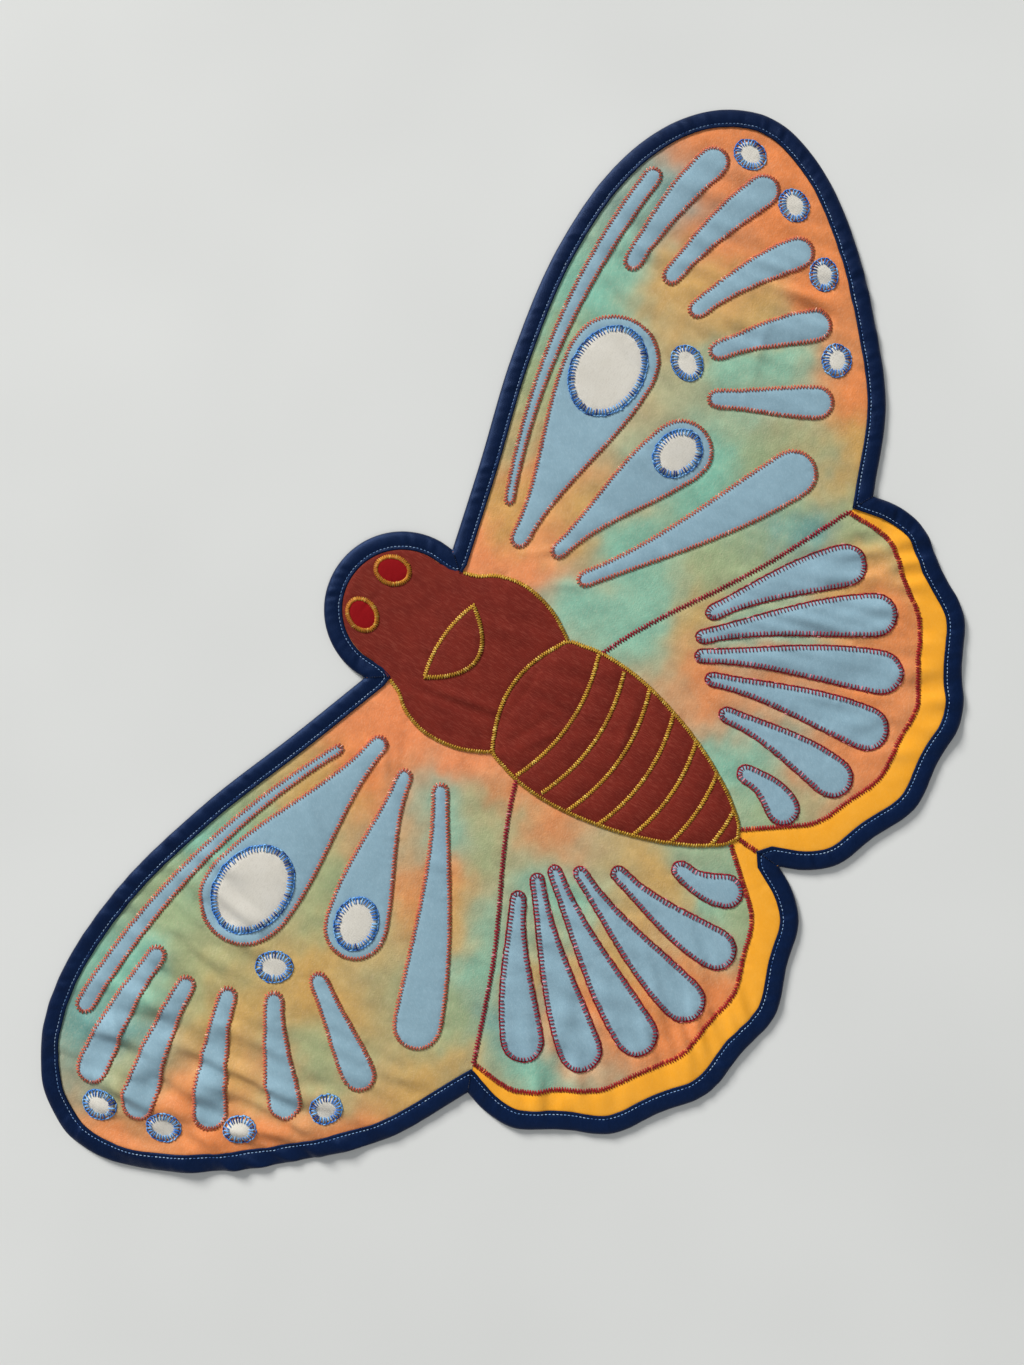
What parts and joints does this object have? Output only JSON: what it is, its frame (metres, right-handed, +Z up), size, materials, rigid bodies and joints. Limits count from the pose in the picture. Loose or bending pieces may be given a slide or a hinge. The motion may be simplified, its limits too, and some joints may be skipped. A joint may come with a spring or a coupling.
{
  "type": "moth-shaped wall quilt",
  "caption": "Flat wall quilt cut as a moth, with dyed wings, pale-blue appliques, a padded twill body and a folded bias binding.",
  "frame": {"origin": "middle of the quilt's bounding box, on the surface that it lies on", "axes": "+X across the wings towards the moth's right-hand side in the picture, +Y towards the head, +Z up out of the quilt's face"},
  "size_m": [0.8534, 0.4204, 0.0067],
  "materials": {
    "navy_binding": "smooth woven bias tape, soft sheen",
    "dyed_cotton": "hand-dyed plain weave, matt, orange, ochre, sage and mint",
    "yellow_sateen": "cotton sateen, slight sheen",
    "pale_blue_cloth": "brushed, felt-like, matt",
    "off_white_cloth": "felted, flecked, matt",
    "rust_twill": "heathered twill, matt",
    "red_cotton": "plain cotton, matt",
    "backing_cotton": "plain calico, matt"
  },
  "bodies": {
    "root": {"backing": "backing_cotton", "binding": "navy_binding", "head": "rust_twill", "thorax": "rust_twill", "abdomen": "rust_twill", "collar": "rust_twill", "forewing_right": "dyed_cotton", "hindwing_right": "dyed_cotton", "border_right": "yellow_sateen", "eye_right": "red_cotton", "costal_right": "pale_blue_cloth", "discal_right": "pale_blue_cloth", "median_right": "pale_blue_cloth", "anal_right": "pale_blue_cloth", "fan_1_right": "pale_blue_cloth", "fan_2_right": "pale_blue_cloth", "fan_3_right": "pale_blue_cloth", "fan_4_right": "pale_blue_cloth", "fan_5_right": "pale_blue_cloth", "petal_1_right": "pale_blue_cloth", "petal_2_right": "pale_blue_cloth", "petal_3_right": "pale_blue_cloth", "petal_4_right": "pale_blue_cloth", "petal_5_right": "pale_blue_cloth", "petal_6_right": "pale_blue_cloth", "spot_1_right": "off_white_cloth", "spot_2_right": "off_white_cloth", "spot_3_right": "off_white_cloth", "spot_4_right": "off_white_cloth", "spot_5_right": "off_white_cloth", "disc_1_right": "off_white_cloth", "disc_2_right": "off_white_cloth", "forewing_left": "dyed_cotton", "hindwing_left": "dyed_cotton", "border_left": "yellow_sateen", "eye_left": "red_cotton", "costal_left": "pale_blue_cloth", "discal_left": "pale_blue_cloth", "median_left": "pale_blue_cloth", "anal_left": "pale_blue_cloth", "fan_1_left": "pale_blue_cloth", "fan_2_left": "pale_blue_cloth", "fan_3_left": "pale_blue_cloth", "fan_4_left": "pale_blue_cloth", "fan_5_left": "pale_blue_cloth", "petal_1_left": "pale_blue_cloth", "petal_2_left": "pale_blue_cloth", "petal_3_left": "pale_blue_cloth", "petal_4_left": "pale_blue_cloth", "petal_5_left": "pale_blue_cloth", "petal_6_left": "pale_blue_cloth", "spot_1_left": "off_white_cloth", "spot_2_left": "off_white_cloth", "spot_3_left": "off_white_cloth", "spot_4_left": "off_white_cloth", "spot_5_left": "off_white_cloth", "disc_1_left": "off_white_cloth", "disc_2_left": "off_white_cloth"}
  },
  "joints": []
}
